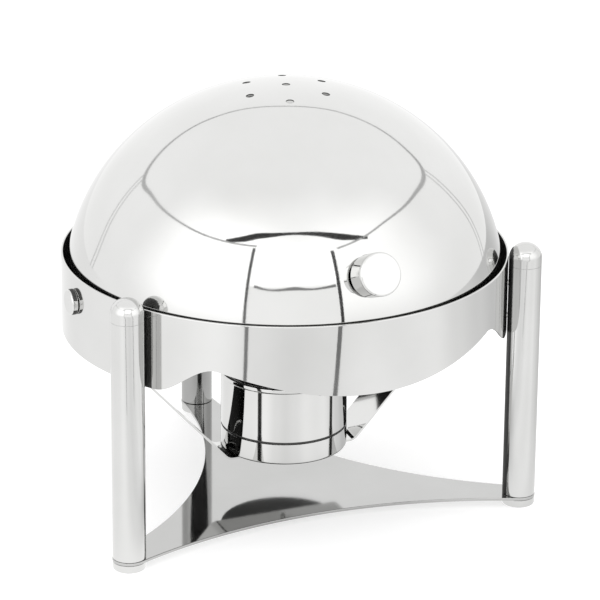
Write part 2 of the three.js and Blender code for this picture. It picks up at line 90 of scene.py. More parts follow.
PIVOT_HEIGHT = 233.0
DOME_RADIUS = (dome_high.x - dome_low.x) / 2 / MM
DOME_RIM = dome_low.z / MM
DOME_HEIGHT = (dome_high.z - dome_low.z) / MM
SKIN_RADIUS = DOME_RADIUS + 1.0  # the shown lid sits a little closer to the band than the CAD's
VENT_RADIUS = 4.0
VENT_CIRCLE = 42.0
VENT_START = math.radians(-17.7)
KNOB_ELEVATION = math.radians(21.6)

CUP_TOP = 134.5
SNUFFER_PIVOT = 53.0

# ------------------------------------------------------------- mesh helpers


def rounded(corners, steps=4):
    """Points of a profile whose corners are (radius, height) or (radius, height, fillet)."""
    points = []
    last = len(corners) - 1
    for i, corner in enumerate(corners):
        here = Vector(corner[:2])
        fillet = corner[2] if len(corner) > 2 else 0.0
        if fillet <= 0 or i in (0, last):
            points.append(here)
            continue
        before = Vector(corners[i - 1][:2]) - here
        after = Vector(corners[i + 1][:2]) - here
        start = here + before.normalized() * min(fillet, before.length * 0.49)
        end = here + after.normalized() * min(fillet, after.length * 0.49)
        for k in range(steps + 1):
            t = k / steps
            points.append(start * (1 - t) ** 2 + here * 2 * t * (1 - t) + end * t * t)
    return [(p.x, p.y) for p in points]


def arc(centre_x, centre_z, radius_x, radius_z, start, end, steps):
    """Points along an ellipse. Angles are in radians, from the outward direction."""
    return [
        (
            centre_x + radius_x * math.cos(start + (end - start) * i / steps),
            centre_z + radius_z * math.sin(start + (end - start) * i / steps),
        )
        for i in range(steps + 1)
    ]


def make_object(name, mesh_data, matrix, body, sharp=32):
    """Puts a bmesh, in millimetres, into the scene as a smooth shaded piece on a body."""
    mesh_data.transform(Matrix.Scale(MM, 4))
    mesh_data.transform(matrix)
    bmesh.ops.recalc_face_normals(mesh_data, faces=mesh_data.faces)
    mesh = bpy.data.meshes.new(name)
    mesh_data.to_mesh(mesh)
    mesh_data.free()
    mesh.shade_smooth()
    mesh.set_sharp_from_angle(angle=math.radians(sharp))
    piece = bpy.data.objects.new(name, mesh)
    bpy.context.scene.collection.objects.link(piece)
    normals = piece.modifiers.new("normals", "WEIGHTED_NORMAL")
    normals.keep_sharp = True
    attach(piece, body)
    return piece


def turn_profile(profile, segments):
    """A bmesh of the profile turned about Z. A closed profile repeats its first point."""
    made = bmesh.new()
    closed = profile[0] == profile[-1]
    points = profile[:-1] if closed else profile
    rings = []
    for radius, height in points:
        if radius < 1e-6:
            rings.append([made.verts.new((0, 0, height))])
            continue
        rings.append(
            [
                made.verts.new(
                    (
                        radius * math.cos(2 * math.pi * k / segments),
                        radius * math.sin(2 * math.pi * k / segments),
                        height,
                    )
                )
                for k in range(segments)
            ]
        )
    pairs = list(zip(rings, rings[1:]))
    if closed:
        pairs.append((rings[-1], rings[0]))
    for lower, upper in pairs:
        for k in range(segments):
            corners = [lower[k % len(lower)], lower[(k + 1) % len(lower)]]
            corners += [upper[(k + 1) % len(upper)], upper[k % len(upper)]]
            unique = list(dict.fromkeys(corners))
            if len(unique) > 2:
                made.faces.new(unique)
    return made


def at_axis():
    return Matrix.Translation(AXIS)


def spoke(angle):
    """A frame at the lid's axis whose X points outwards at this angle from the front."""
    return at_axis() @ Matrix.Rotation(angle - math.pi / 2, 4, "Z")


def along_x(height):
    """Turns a lathe's Z axis to point along X, at this height."""
    return Matrix.Translation((0, 0, height * MM)) @ Matrix.Rotation(math.pi / 2, 4, "Y")


def leg_frame(angle):
    return spoke(angle) @ Matrix.Translation((LEG_CIRCLE * MM, 0, 0))


def knob_frame():
    """Where the knob meets the lid, with Z pointing out of the lid."""
    cosine, sine = math.cos(KNOB_ELEVATION), math.sin(KNOB_ELEVATION)
    base = Vector((0, -DOME_RADIUS * cosine, DOME_RIM + DOME_HEIGHT * sine)) * MM
    outwards = Vector((0, -cosine / DOME_RADIUS, sine / DOME_HEIGHT)).normalized()
    turn = Vector((0, 0, 1)).rotation_difference(outwards)
    return at_axis() @ Matrix.Translation(base) @ turn.to_matrix().to_4x4()


def lathe(node, profile, matrix, body, segments, material, sharp=32):
    """A turned piece that stands for a CAD node."""
    return finished(
        make_object(node + "_shape", turn_profile(profile, segments), matrix, body, sharp),
        node,
        material,
    )


SLOT_OF = {s["node"]: s["material_slot"] for s in frame["record"]["subparts"]}


def backed(piece, material, away):
    """Gives a second material to the faces that pass a test of their normal and middle."""
    piece.data.materials.append(material)
    for face in piece.data.polygons:
        if away(face.normal, face.center - AXIS):
            face.material_index = 1


def finished(piece, node, material):
    """Gives a piece its material, and lets it stand for a CAD node."""
    piece.data.materials.append(material)
    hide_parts(node)
    return piece


# ---------------------------------------------------------------- materials


class Nodes:
    """A short way to wire a material's nodes."""

    def __init__(self, name):
        self.material = bpy.data.materials.new(name)
        self.material.use_nodes = True
        self.tree = self.material.node_tree
        self.shader = self.tree.nodes["Principled BSDF"]
        coordinates = self.tree.nodes.new("ShaderNodeTexCoord")
        self.place = coordinates.outputs["Object"]

    def set(self, **values):
        for socket, value in values.items():
            self.shader.inputs[socket.replace("_", " ")].default_value = value

    def noise(self, scale, detail=3.0, stretch=(1, 1, 1), rough=0.55):
        mapping = self.tree.nodes.new("ShaderNodeMapping")
        mapping.inputs["Scale"].default_value = stretch
        self.tree.links.new(self.place, mapping.inputs["Vector"])
        texture = self.tree.nodes.new("ShaderNodeTexNoise")
        texture.inputs["Scale"].default_value = scale
        texture.inputs["Detail"].default_value = detail
        texture.inputs["Roughness"].default_value = rough
        self.tree.links.new(mapping.outputs["Vector"], texture.inputs["Vector"])
        return texture.outputs["Fac"]

    def ramp(self, source, stops):
        node = self.tree.nodes.new("ShaderNodeValToRGB")
        elements = node.color_ramp.elements
        for position, colour in stops[2:]:
            elements.new(position).color = (*colour, 1)
        for element, (position, colour) in zip(list(elements)[:2], stops[:2]):
            element.position = position
            element.color = (*colour, 1)
        self.tree.links.new(source, node.inputs["Fac"])
        return node.outputs["Color"]

    def span(self, source, low, high, start=0.3, end=0.7):
        node = self.tree.nodes.new("ShaderNodeMapRange")
        node.inputs["From Min"].default_value = start
        node.inputs["From Max"].default_value = end
        node.inputs["To Min"].default_value = low
        node.inputs["To Max"].default_value = high
        self.tree.links.new(source, node.inputs["Value"])
        return node.outputs["Result"]

    def bump(self, source, strength, distance):
        node = self.tree.nodes.new("ShaderNodeBump")
        node.inputs["Strength"].default_value = strength
        node.inputs["Distance"].default_value = distance
        self.tree.links.new(source, node.inputs["Height"])
        self.tree.links.new(node.outputs["Normal"], self.shader.inputs["Normal"])

    def link(self, source, socket):
        self.tree.links.new(source, self.shader.inputs[socket])


def mirror_steel(name, dark=0.61, light=0.65, smooth=0.03, hazy=0.07, stretch=(1, 1, 1)):
    """Polished stainless steel, with faint haze and fine polishing lines."""
    nodes = Nodes(name)
    nodes.set(Metallic=1.0)
    haze = nodes.noise(9.0, 4.0)
    nodes.link(
        nodes.ramp(haze, [(0.3, (dark, dark, dark * 0.985)), (0.7, (light, light, light * 0.99))]),
        "Base Color",
    )
    nodes.link(nodes.span(haze, smooth, hazy), "Roughness")
    nodes.bump(nodes.noise(420.0, 2.0, stretch), 0.05, 0.00006)
    return nodes.material


def brushed_steel(name, dark, light, smooth, hazy, stretch):
    """Satin steel, with a short grain from brushing."""
    nodes = Nodes(name)
    nodes.set(Metallic=1.0)
    grain = nodes.noise(260.0, 4.0, stretch)
    nodes.link(
        nodes.ramp(grain, [(0.25, (dark, dark, dark * 0.98)), (0.75, (light, light, light * 0.985))]),
        "Base Color",
    )
    nodes.link(nodes.span(grain, smooth, hazy), "Roughness")
    nodes.bump(grain, 0.22, 0.00012)
    return nodes.material


def moulded(name, dark, light, smooth, hazy, grain_scale, bump):
    """A plastic, rubber or gel with a fine moulded surface."""
    nodes = Nodes(name)
    mottle = nodes.noise(60.0, 4.0)
    nodes.link(nodes.ramp(mottle, [(0.3, dark), (0.7, light)]), "Base Color")
    nodes.link(nodes.span(mottle, smooth, hazy), "Roughness")
    nodes.bump(nodes.noise(grain_scale, 3.0), bump, 0.0002)
    return nodes


MIRROR = mirror_steel("polished_steel")
LEG_STEEL = mirror_steel("leg_steel", 0.58, 0.62, 0.06, 0.12, (1, 1, 0.06))
# a darker copy of the leg steel: painted shade for the back leg
PAINTED_SHADE_LEG_STEEL = mirror_steel("painted_shade_leg_steel", 0.36, 0.42, 0.06, 0.12, (1, 1, 0.06))
BAND_STEEL = mirror_steel("band_steel", 0.60, 0.64, stretch=(1, 1, 0.15))
PLATE_STEEL = mirror_steel("plate_steel", 0.43, 0.47, 0.04, 0.09)
# near-black steel for painted shade and painted reflection: band inside, leg and strut inner sides,
# pivot cap sides, vent walls, cup groove
PAINTED_SHADE_STEEL = brushed_steel("painted_shade_steel", 0.05, 0.10, 0.42, 0.6, (1, 1, 0.1))
SATIN = brushed_steel("satin_steel", 0.50, 0.60, 0.2, 0.34, (1, 1, 0.08))
PAN_STEEL = brushed_steel("pan_steel", 0.54, 0.64, 0.16, 0.28, (0.12, 1, 1))
# near-black steel for painted shade on the water pan's outside and the burner tray's underside
PAINTED_UNDERSHADE_STEEL = brushed_steel("painted_undershade_steel", 0.015, 0.035, 0.3, 0.45, (1, 1, 0.2))
FASTENER = brushed_steel("fastener_steel", 0.46, 0.60, 0.25, 0.42, (1, 1, 0.5))
CAN_METAL = brushed_steel("can_metal", 0.52, 0.64, 0.3, 0.45, (1, 1, 0.1))
RUBBER = moulded("rubber", (0.012, 0.012, 0.012), (0.03, 0.03, 0.03), 0.65, 0.85, 900.0, 0.3).material
NYLON = moulded("nylon", (0.70, 0.68, 0.62), (0.80, 0.78, 0.73), 0.4, 0.55, 700.0, 0.15).material
gel_nodes = moulded("gel", (0.48, 0.13, 0.19), (0.60, 0.20, 0.27), 0.12, 0.3, 120.0, 0.35)
gel_nodes.set(Subsurface_Weight=0.3, Coat_Weight=0.5)
GEL = gel_nodes.material

# -------------------------------------------------------------------- stand


def plate_edge(angle_a, angle_b):
    """Radius and centre of the inward curved edge between two legs."""
    a = LEG_CIRCLE * Vector((math.sin(angle_a), -math.cos(angle_a)))
    b = LEG_CIRCLE * Vector((math.sin(angle_b), -math.cos(angle_b)))
    middle = (a + b) / 2
    reach = middle.length
    known = PLATE_CORNER**2 - PLATE_APOTHEM**2 - LEG_CIRCLE**2 + 2 * PLATE_APOTHEM * reach
    radius = known / (2 * (PLATE_APOTHEM - reach - PLATE_CORNER))
    return radius, middle.normalized() * (PLATE_APOTHEM + radius)


def direction(vector):
    return math.atan2(vector.y, vector.x)


def base_plate():
    """The plate: three round corners joined by three arcs that curve inwards."""
    corners = [LEGS["front_right"], LEGS["back"], LEGS["front_left"]]
    edges = [plate_edge(corners[i], corners[(i + 1) % 3]) for i in range(3)]
    outline = []
    for i, angle in enumerate(corners):
        centre = LEG_CIRCLE * Vector((math.sin(angle), -math.cos(angle)))
        next_angle = corners[(i + 1) % 3]
        following = LEG_CIRCLE * Vector((math.sin(next_angle), -math.cos(next_angle)))
        radius, after = edges[i]
        before = edges[(i + 2) % 3][1]
        start, end = direction(before - centre), direction(after - centre)
        end += 2 * math.pi * math.ceil((start - end) / (2 * math.pi))
        outline += arc(centre.x, centre.y, PLATE_CORNER, PLATE_CORNER, start, end, 24)[:-1]
        start, end = direction(centre - after), direction(following - after)
        end -= 2 * math.pi * math.ceil((end - start) / (2 * math.pi))
        outline += arc(after.x, after.y, radius, radius, start, end, 96)[:-1]
    made = bmesh.new()
    top = made.faces.new([made.verts.new((x, y, PLATE_TOP)) for x, y in outline])
    lower = bmesh.ops.extrude_face_region(made, geom=[top])
    moved = [v for v in lower["geom"] if isinstance(v, bmesh.types.BMVert)]
    bmesh.ops.translate(made, vec=(0, 0, PLATE_BOTTOM - PLATE_TOP), verts=moved)
    rims = [e for e in made.edges if abs(e.verts[0].co.z - e.verts[1].co.z) < 1e-6]
    bmesh.ops.bevel(made, geom=rims, offset=0.6, segments=3, profile=0.5, affect="EDGES")
    piece = make_object("base_plate_shape", made, at_axis(), "stand", sharp=40)
    finished(piece, "base_plate", PLATE_STEEL)


def legs():
    foot = rounded(
        [
            (7, 5.3),
            (7, 0, 0.4),
            (LEG_RADIUS, 0, 2.5),
            (LEG_RADIUS, PLATE_BOTTOM - 0.3, 0.4),
            (3.2, PLATE_BOTTOM - 0.3),
            (3.2, 5.3),
            (7, 5.3),
        ]
    )
    tube = rounded(
        [
            (LEG_RADIUS - 1.5, PLATE_TOP + 0.3),
            (LEG_RADIUS, PLATE_TOP + 0.3, 0.5),
            (LEG_RADIUS, LEG_SEAM - 0.12, 0.2),
            (LEG_RADIUS - 1.5, LEG_SEAM - 0.12),
            (LEG_RADIUS - 1.5, PLATE_TOP + 0.3),
        ]
    )
    dome = arc(0, LEG_SHOULDER, LEG_RADIUS, LEG_TOP - LEG_SHOULDER, 0, math.pi / 2, 24)
    cap = rounded(
        [
            (0, LEG_SEAM - 8),
            (LEG_RADIUS - 1.8, LEG_SEAM - 8),
            (LEG_RADIUS - 1.8, LEG_SEAM),
            (LEG_RADIUS, LEG_SEAM, 0.2),
            *dome[:-1],
            (0, LEG_TOP),
        ]
    )
    bolt_tip = 6 + 1.5 - LEG_RADIUS
    for side, angle in LEGS.items():
        where = leg_frame(angle)
        lathe(f"foot_{side}", foot, where, "stand", 64, LEG_STEEL)
        # painted shade: the back leg gets a darker copy of the same steel
        steel = PAINTED_SHADE_LEG_STEEL if side == "back" else LEG_STEEL
        for node, profile in ((f"leg_tube_{side}", tube), (f"leg_cap_{side}", cap)):
            piece = lathe(node, profile, where, "stand", 64, steel)
            if side != "back":  # painted reflection: the side towards the band is kept dark for what mirrors it
                inwards = Vector((-math.sin(angle), math.cos(angle), 0))
                backed(piece, PAINTED_SHADE_STEEL, lambda normal, middle: normal.dot(inwards) > 0.7)
        for place, height in (("lower", 198.0), ("upper", 232.0)):
            through_strut = place == "lower" and side != "back"
            head = BAND_OUTER - BAND_WALL - 0.3 - (2.8 if through_strut else 0.3) - LEG_CIRCLE
            screw(f"leg_bolt_{place}_{side}", head - 1.6, head, bolt_tip, where @ along_x(height))


def screw(node, head_end, head_face, tip, matrix, head=5.0, shank=2.5, body="stand"):
    """A domed machine screw, turned along its own Z from its head to its tip."""
    way = 1 if head_face > head_end else -1
    profile = rounded(
        [
            (0, head_end),
            (head * 0.55, head_end + 0.05 * way, 0.6),
            (head, head_end + 0.55 * way, 0.5),
            (head, head_face),
            (shank, head_face),
            (shank, tip - 0.8 * (1 if tip > head_face else -1)),
            (shank - 0.7, tip),
            (0, tip),
        ]
    )
    lathe(node, profile, matrix, body, 32, FASTENER)


# --------------------------------------------------------------------- band


def apron_edge(angle):
    """Height of the band's lower edge at an angle from the front."""
    turn = abs(angle)
    if turn <= APRON_PEAK_ANGLE:
        rise = 1 - math.cos(turn / APRON_PEAK_ANGLE * math.pi / 2)
        return APRON_LOBE_BOTTOM + (APRON_PEAK - APRON_LOBE_BOTTOM) * rise
    if turn >= APRON_END_ANGLE:
        return BAND_BOTTOM
    progress = (turn - APRON_PEAK_ANGLE) / (APRON_END_ANGLE - APRON_PEAK_ANGLE)
    return BAND_BOTTOM + (APRON_PEAK - BAND_BOTTOM) * (1 + math.cos(math.pi * progress)) / 2


def band():
    """The band round the lid, with a rolled top edge and a shaped apron in front."""
    made = bmesh.new()
    steps = 480
    inner = BAND_OUTER - BAND_WALL
    columns = []
    for k in range(steps):
        angle = 2 * math.pi * k / steps - math.pi
        low = apron_edge(angle)
        section = rounded(
            [
                (inner, (low + BAND_TOP) / 2),
                (inner, low, 0.35),
                (BAND_OUTER, low, 0.35),
                (BAND_OUTER, BAND_TOP, 0.9),
                (inner - BAND_HEM, BAND_TOP, 0.9),
                (inner - BAND_HEM, BAND_TOP - 2.6, 0.5),
                (inner, BAND_TOP - 3.4),
                (inner, (low + BAND_TOP) / 2),
            ],
            3,
        )[:-1]
        columns.append(
            [made.verts.new((r * math.sin(angle), -r * math.cos(angle), z)) for r, z in section]
        )
    for k in range(steps):
        here, there = columns[k], columns[(k + 1) % steps]
        for j in range(len(here)):
            i = (j + 1) % len(here)
            made.faces.new((here[j], there[j], there[i], here[i]))
    piece = make_object("ring_band_shape", made, at_axis(), "stand", 50)
    finished(piece, "ring_band", BAND_STEEL)
    backed(piece, PAINTED_SHADE_STEEL, inside_band)


def inside_band(normal, middle):
    """The band's inner face, given painted shade so that the gap round the lid looks dark."""
    return normal.x * middle.x + normal.y * middle.y < 0 and normal.z < 0.5


def inner_frame():
    ring = rounded(
        [
            (176, 244, 0.5),
            (184.4, 244, 1.2),
            (184.4, 224, 0.3),
            (186, 224, 0.3),
            (186, 245.5, 2.2),
            (176, 245.5, 0.5),
            (176, 244.7),
            (176, 244),
        ]
    )
    ring = [(176, 244.7)] + [p for p in ring if p != (176, 244.7)] + [(176, 244.7)]
    lathe("support_ring", ring, at_axis(), "stand", 192, SATIN)
    for side, angle in SIDES.items():
        strut = STRUTS[side]
        screw(f"strut_screw_{side}", 191, 188.8, 179, spoke(strut) @ along_x(234))
        screw(f"strap_screw_{side}", 191, 188.8, 178, spoke(angle) @ along_x(234))
        where = spoke(angle) @ along_x(PIVOT_HEIGHT)
        screw(f"pivot_pin_{side}", 200, 203.7, 222, where, 6.5, 4.0)
        cap = rounded(
            [
                (0, 222.3),
                (4.3, 222.3),
                (4.3, BAND_OUTER + 0.3),
                (12.5, BAND_OUTER + 0.3, 0.6),
                (12.5, BAND_OUTER + 6.5, 2.8),
                (9, BAND_OUTER + 6.5),
                (0, BAND_OUTER + 6.5),
            ],
            8,
        )
        piece = lathe(f"pivot_cap_{side}", cap, where, "stand", 64, MIRROR)
        backed(piece, PAINTED_SHADE_STEEL, beside_cap)
        spacer = rounded(
            [(4.3, 215.4), (9, 215.4, 0.2), (9, 216, 0.2), (4.3, 216), (4.3, 215.4)]
        )
        lathe(f"pivot_spacer_{side}", spacer, where, "stand", 48, NYLON)


def beside_cap(normal, middle):
    """The upper and lower sides of a pivot cap, given a painted reflection darker than its face."""
    return abs(normal.x) < 0.2 and abs(middle.z - PIVOT_HEIGHT * MM) > 4.5 * MM


# ---------------------------------------------------------------------- lid


def bored(piece, drills):
    """Cuts round holes through a piece. Each drill is (matrix, radius, half length)."""
    cutters = bpy.data.meshes.new("drills")
    made = bmesh.new()
    for matrix, radius, reach in drills:
        ends = [(0, -reach), (radius, -reach), (radius, reach), (0, reach)]
        drill = turn_profile(ends, 32)
        drill.transform(Matrix.Scale(MM, 4))
        bmesh.ops.recalc_face_normals(drill, faces=drill.faces)
        drill.transform(matrix)
        drill.to_mesh(cutters)
        drill.free()
        made.from_mesh(cutters)
    made.to_mesh(cutters)
    made.free()
    cutter = bpy.data.objects.new("drills", cutters)
    bpy.context.scene.collection.objects.link(cutter)
    modifier = piece.modifiers.new("holes", "BOOLEAN")
    modifier.operation = "DIFFERENCE"
    modifier.solver = "EXACT"
    modifier.object = cutter
    bpy.context.view_layer.update()
    cut = bpy.data.meshes.new_from_object(
        piece.evaluated_get(bpy.context.evaluated_depsgraph_get())
    )
    piece.modifiers.clear()
    piece.data = cut
    bpy.data.objects.remove(cutter)
    return piece


def lid():
    wall = 1.0
    outer = arc(0, DOME_RIM, SKIN_RADIUS, DOME_HEIGHT, math.pi / 2, 0, 72)
    inner = arc(0, DOME_RIM, SKIN_RADIUS - wall, DOME_HEIGHT - wall, 0, math.pi / 2, 72)
    outer[0] = (0, outer[0][1])
    inner[-1] = (0, inner[-1][1])
    made = turn_profile(outer + inner, 192)
    piece = make_object("lid_dome_shape", made, at_axis(), "lid", 40)
    drills = [(at_axis() @ along_x(PIVOT_HEIGHT), 6.3, 230.0), (knob_frame(), 2.8, 8.0)]
    drills.append((at_axis() @ Matrix.Translation((0, 0, 420 * MM)), VENT_RADIUS, 20.0))
    for i in range(6):
        angle = VENT_START + math.radians(60 * i)
        where = Vector((VENT_CIRCLE * math.sin(angle), -VENT_CIRCLE * math.cos(angle), 420)) * MM
        drills.append((at_axis() @ Matrix.Translation(where), VENT_RADIUS, 20.0))
    bored(piece, drills)
    true_normals(piece)
    finished(piece, "lid_dome", MIRROR)
    backed(piece, PAINTED_SHADE_STEEL, in_a_hole)


def in_a_hole(normal, middle):
    """The walls of the lid's holes and its rim, given painted shade so that the vents show."""
    return abs(normal.dot(lid_slope(middle))) < 0.9


def lid_slope(point):
    """Which way the smooth ellipsoid of the lid faces at a point from the axis."""
    rise = (point.z - DOME_RIM * MM) / DOME_HEIGHT**2
    return Vector((point.x / SKIN_RADIUS**2, point.y / SKIN_RADIUS**2, rise)).normalized()


def true_normals(piece):
    """Gives the lid's two skins the normals of the smooth ellipsoid they lie on."""
    mesh = piece.data
    normals = []
    for face in mesh.polygons:
        for index in face.loop_indices:
            slope = lid_slope(mesh.vertices[mesh.loops[index].vertex_index].co - AXIS)
            lean = face.normal.dot(slope)
            if abs(lean) > 0.9:
                normals.append(slope * math.copysign(1, lean))
            else:
                normals.append(face.normal.copy())
    mesh.normals_split_custom_set(normals)


def knob():
    where = knob_frame()
    neck = rounded([(2.8, 0.6), (9, 0.6, 0.3), (9, 5, 0.3), (2.8, 5), (2.8, 0.6)])
    lathe("knob_neck", neck, where, "lid", 48, MIRROR)
    body = rounded(
        [
            (0, 21),
            (2.8, 21),
            (2.8, 5.3),
            (20.6, 5.3, 1.6),
            (20.6, 30.0, 3.4),
            (16.5, 30.0),
            (0, 30.0),
        ],
        8,
    )
    lathe("lid_knob", body, where, "lid", 96, MIRROR)
    screw("knob_screw", -5, -2, 20, where, 6.0, 2.5, "lid")
    for side, angle in SIDES.items():
        pivot = spoke(angle) @ along_x(PIVOT_HEIGHT)
        ear = rounded([(6.3, 206.7), (14, 206.7, 0.4), (14, 208.3, 0.4), (6.3, 208.3), (6.3, 206.7)])
        lathe(f"lid_ear_{side}", ear, pivot, "lid", 48, SATIN)
        bush = rounded([(4.3, 206.6), (6, 206.6, 0.3), (6, 214.9, 0.3), (4.3, 214.9), (4.3, 206.6)])
        lathe(f"lid_bush_{side}", bush, pivot, "lid", 48, NYLON)


# --------------------------------------------------------------------- pans


def pan(node, body, rim, wall, top, bottom, corner, material):
    sheet = 1.0
    centre_x, centre_z = wall - corner, bottom + corner
    outside = arc(centre_x, centre_z, corner, corner, -math.pi / 2, 0, 12)
    inside = arc(centre_x, centre_z, corner - sheet, corner - sheet, 0, -math.pi / 2, 12)
    profile = rounded(
        [
            (0, bottom),
            *outside,
            (wall, top - sheet, 1.0),
            (rim, top - sheet, 0.45),
            (rim, top, 0.45),
            (wall - sheet, top, 1.6),
            *inside,
            (0, bottom + sheet),
        ]
    )
    piece = lathe(node, profile, at_axis(), body, 192, material)
    if node == "water_pan":
        # painted shade on the water pan's outer wall and underside
        backed(piece, PAINTED_UNDERSHADE_STEEL, outside_pan)


def outside_pan(normal, middle):
    """The pan's outer wall and underside, given painted shade for what mirrors them below."""
    outwards = normal.x * middle.x + normal.y * middle.y > 0
    return normal.z < 0.5 and (outwards or normal.z < -0.9)


# ------------------------------------------------------------------- burner


def burner_strap():
    """A flat strip bent up at both ends, with small bend radii."""
    thickness, width = 2.0, 43.0
    flat, tab, low, top = 67.0, 181.8, 52.7, 243.0
    slope = math.radians(47.3)
    middle = low + thickness / 2
    half = rounded(
        [
            (0, middle),
            (flat, middle, 5),
            (tab, middle + (tab - flat) * math.tan(slope), 5),
            (tab, top),
        ],
        8,
    )
    line = [Vector((-x, z)) for x, z in reversed(half[1:])] + [Vector(p) for p in half]
    made = bmesh.new()
    rows = []
    for i, point in enumerate(line):
        along = (line[min(i + 1, len(line) - 1)] - line[max(i - 1, 0)]).normalized()
        normal = Vector((-along.y, along.x)) * thickness / 2
        above, below = point + normal, point - normal
        rows.append(
            [
                made.verts.new((p.x, y, p.y))
                for p, y in (
                    (above, -width / 2),
                    (above, width / 2),
                    (below, width / 2),
                    (below, -width / 2),
                )
            ]
        )
    for here, there in zip(rows, rows[1:]):
        for j in range(4):
            i = (j + 1) % 4
            made.faces.new((here[j], there[j], there[i], here[i]))
    made.faces.new(rows[0])
    made.faces.new(rows[-1])
    corners = [
        e
        for e in made.edges
        if abs(e.verts[0].co.y - e.verts[1].co.y) < 1e-6 and len(e.link_faces) == 2
        and e.calc_face_angle(0) > 1
    ]
    bmesh.ops.bevel(made, geom=corners, offset=0.35, segments=2, profile=0.5, affect="EDGES")
    piece = make_object("burner_strap_shape", made, at_axis(), "stand", 40)
    finished(piece, "burner_strap", MIRROR)


def burner():
    where = at_axis()
    tray = rounded(
        [(0, 55), (62.5, 55, 2.4), (62.5, 76, 0.4), (61.3, 76, 0.4), (61.3, 56.5, 2), (0, 56.5)]
    )
    piece = lathe("burner_tray", tray, where, "stand", 128, MIRROR)
    # painted shade on the tray's underside
    backed(piece, PAINTED_UNDERSHADE_STEEL, lambda normal, middle: normal.z < -0.5)
    screw("tray_screw", 58.8, 56.8, 46, where, 6.0, 2.5)
    cup = rounded(
        [
            (0, 59.2),
            (60.8, 59.2, 2.5),
            (60.8, 76.4, 0.2),
            (61.7, 76.4),
            (61.7, 78.2),
            (62.3, 78.4, 0.2),
            (62.3, CUP_TOP - 5.2, 0.5),
            (63.5, CUP_TOP - 4.2, 0.9),
            (63.5, CUP_TOP - 0.6, 1.2),
            (62.2, CUP_TOP, 0.6),
            (61.1, CUP_TOP, 0.4),
            (61.1, 77.6, 0.5),
            (59.6, 77.6, 0.5),
            (59.6, 60.4, 2.0),
            (0, 60.4),
        ],
        5,
    )
    piece = lathe("burner_cup", cup, where, "burner", 128, MIRROR)
    backed(piece, PAINTED_SHADE_STEEL, in_cup_groove)
    collar = rounded(
        [(45, 133), (60.8, 133, 0.3), (60.8, 134.2, 0.3), (45, 134.2, 0.5), (45, 133)]
    )
    lathe("burner_collar", collar, where, "burner", 128, SATIN)
    can = rounded(
        [
            (0, 60.7),
            (43, 60.7, 1.0),
            (43, 62.5, 0.5),
            (42.6, 63.5, 0.5),
            (42.6, 121, 0.5),
            (43, 122, 0.4),
            (43, 123, 0.3),
            (42.2, 123, 0.3),
            (42.2, 61.5, 1.0),
            (0, 61.5),
        ]
    )
    lathe("fuel_can", can, where, "can", 96, CAN_METAL)
    gel = rounded([(0, 61.8), (41.9, 61.8, 1.0), (41.9, 110, 2.5), (30, 109.2, 8), (0, 109.0)], 8)
    lathe("fuel_gel", gel, where, "can", 96, GEL)
    lid_low, lid_top = CUP_TOP + 0.5, CUP_TOP + 2.0
    snuffer = rounded([(0, lid_low), (58, lid_low, 0.6), (58, lid_top, 0.6), (0, lid_top)])
    lathe("snuffer_lid", snuffer, where, "snuffer", 128, SATIN)
    pin = rounded(
        [
            (0, 130),
            (2, 130, 0.4),
            (2, lid_top + 0.3),
            (4, lid_top + 0.3, 0.3),
            (4, lid_top + 2, 0.8),
            (0, lid_top + 2),
        ]
    )
    hinge = where @ Matrix.Translation((0, SNUFFER_PIVOT * MM, 0))
    lathe("snuffer_pin", pin, hinge, "burner", 32, FASTENER)
    rod = rounded(
        [(0, 36), (2.5, 36, 1.2), (2.5, 79, 2), (4, 83, 2), (4, 92, 3.0), (0, 92)], 6
    )
    lift = Matrix.Translation((0, 0, (lid_top + 4.3) * MM))
    lying = where @ lift @ Matrix.Rotation(math.pi / 2, 4, "X")
    lathe("snuffer_handle", rod, lying, "snuffer", 48, FASTENER)


def in_cup_groove(_, middle):
    """The groove that parts the burner cup from its tray, which gets painted shade."""
    reach = math.hypot(middle.x, middle.y)
    return 61.5 * MM < reach < 62.1 * MM and 76 * MM < middle.z < 79 * MM


# ------------------------------------------------- CAD nodes shown as they are

SHOWN = {
    "satin_steel": SATIN,
    "fastener_steel": FASTENER,
    "rubber": RUBBER,
    "nylon": NYLON,
    "mirror_steel": MIRROR,
    "can_metal": CAN_METAL,
    "gel": GEL,
}


def dress_frame():
    """Gives each CAD node that still shows a material and softened edges."""
    for name, node in frame["nodes"].items():
        if node.hide_render:
            continue
        node.data.materials.clear()
        gets_painted_shade = name.startswith("front_strut")  # painted reflection: kept dark, as the legs' inner sides are
        node.data.materials.append(PAINTED_SHADE_STEEL if gets_painted_shade else SHOWN[SLOT_OF[name]])
        weld = node.modifiers.new("weld", "WELD")
        weld.merge_threshold = 0.00001
        bevel = node.modifiers.new("edges", "BEVEL")
        bevel.width = 0.0004
        bevel.segments = 2
        bevel.limit_method = "ANGLE"
        bevel.angle_limit = math.radians(35)
        normals = node.modifiers.new("normals", "WEIGHTED_NORMAL")
        normals.keep_sharp = True


# ------------------------------------------------------------------- studio


def emitter(name, strength, colour=(1, 1, 1)):
    material = bpy.data.materials.new(name)
    material.use_nodes = True
    tree = material.node_tree
    tree.nodes.clear()
    glow = tree.nodes.new("ShaderNodeEmission")
    glow.inputs["Color"].default_value = (*colour, 1)
    glow.inputs["Strength"].default_value = strength
    output = tree.nodes.new("ShaderNodeOutputMaterial")
    tree.links.new(glow.outputs["Emission"], output.inputs["Surface"])
    return material


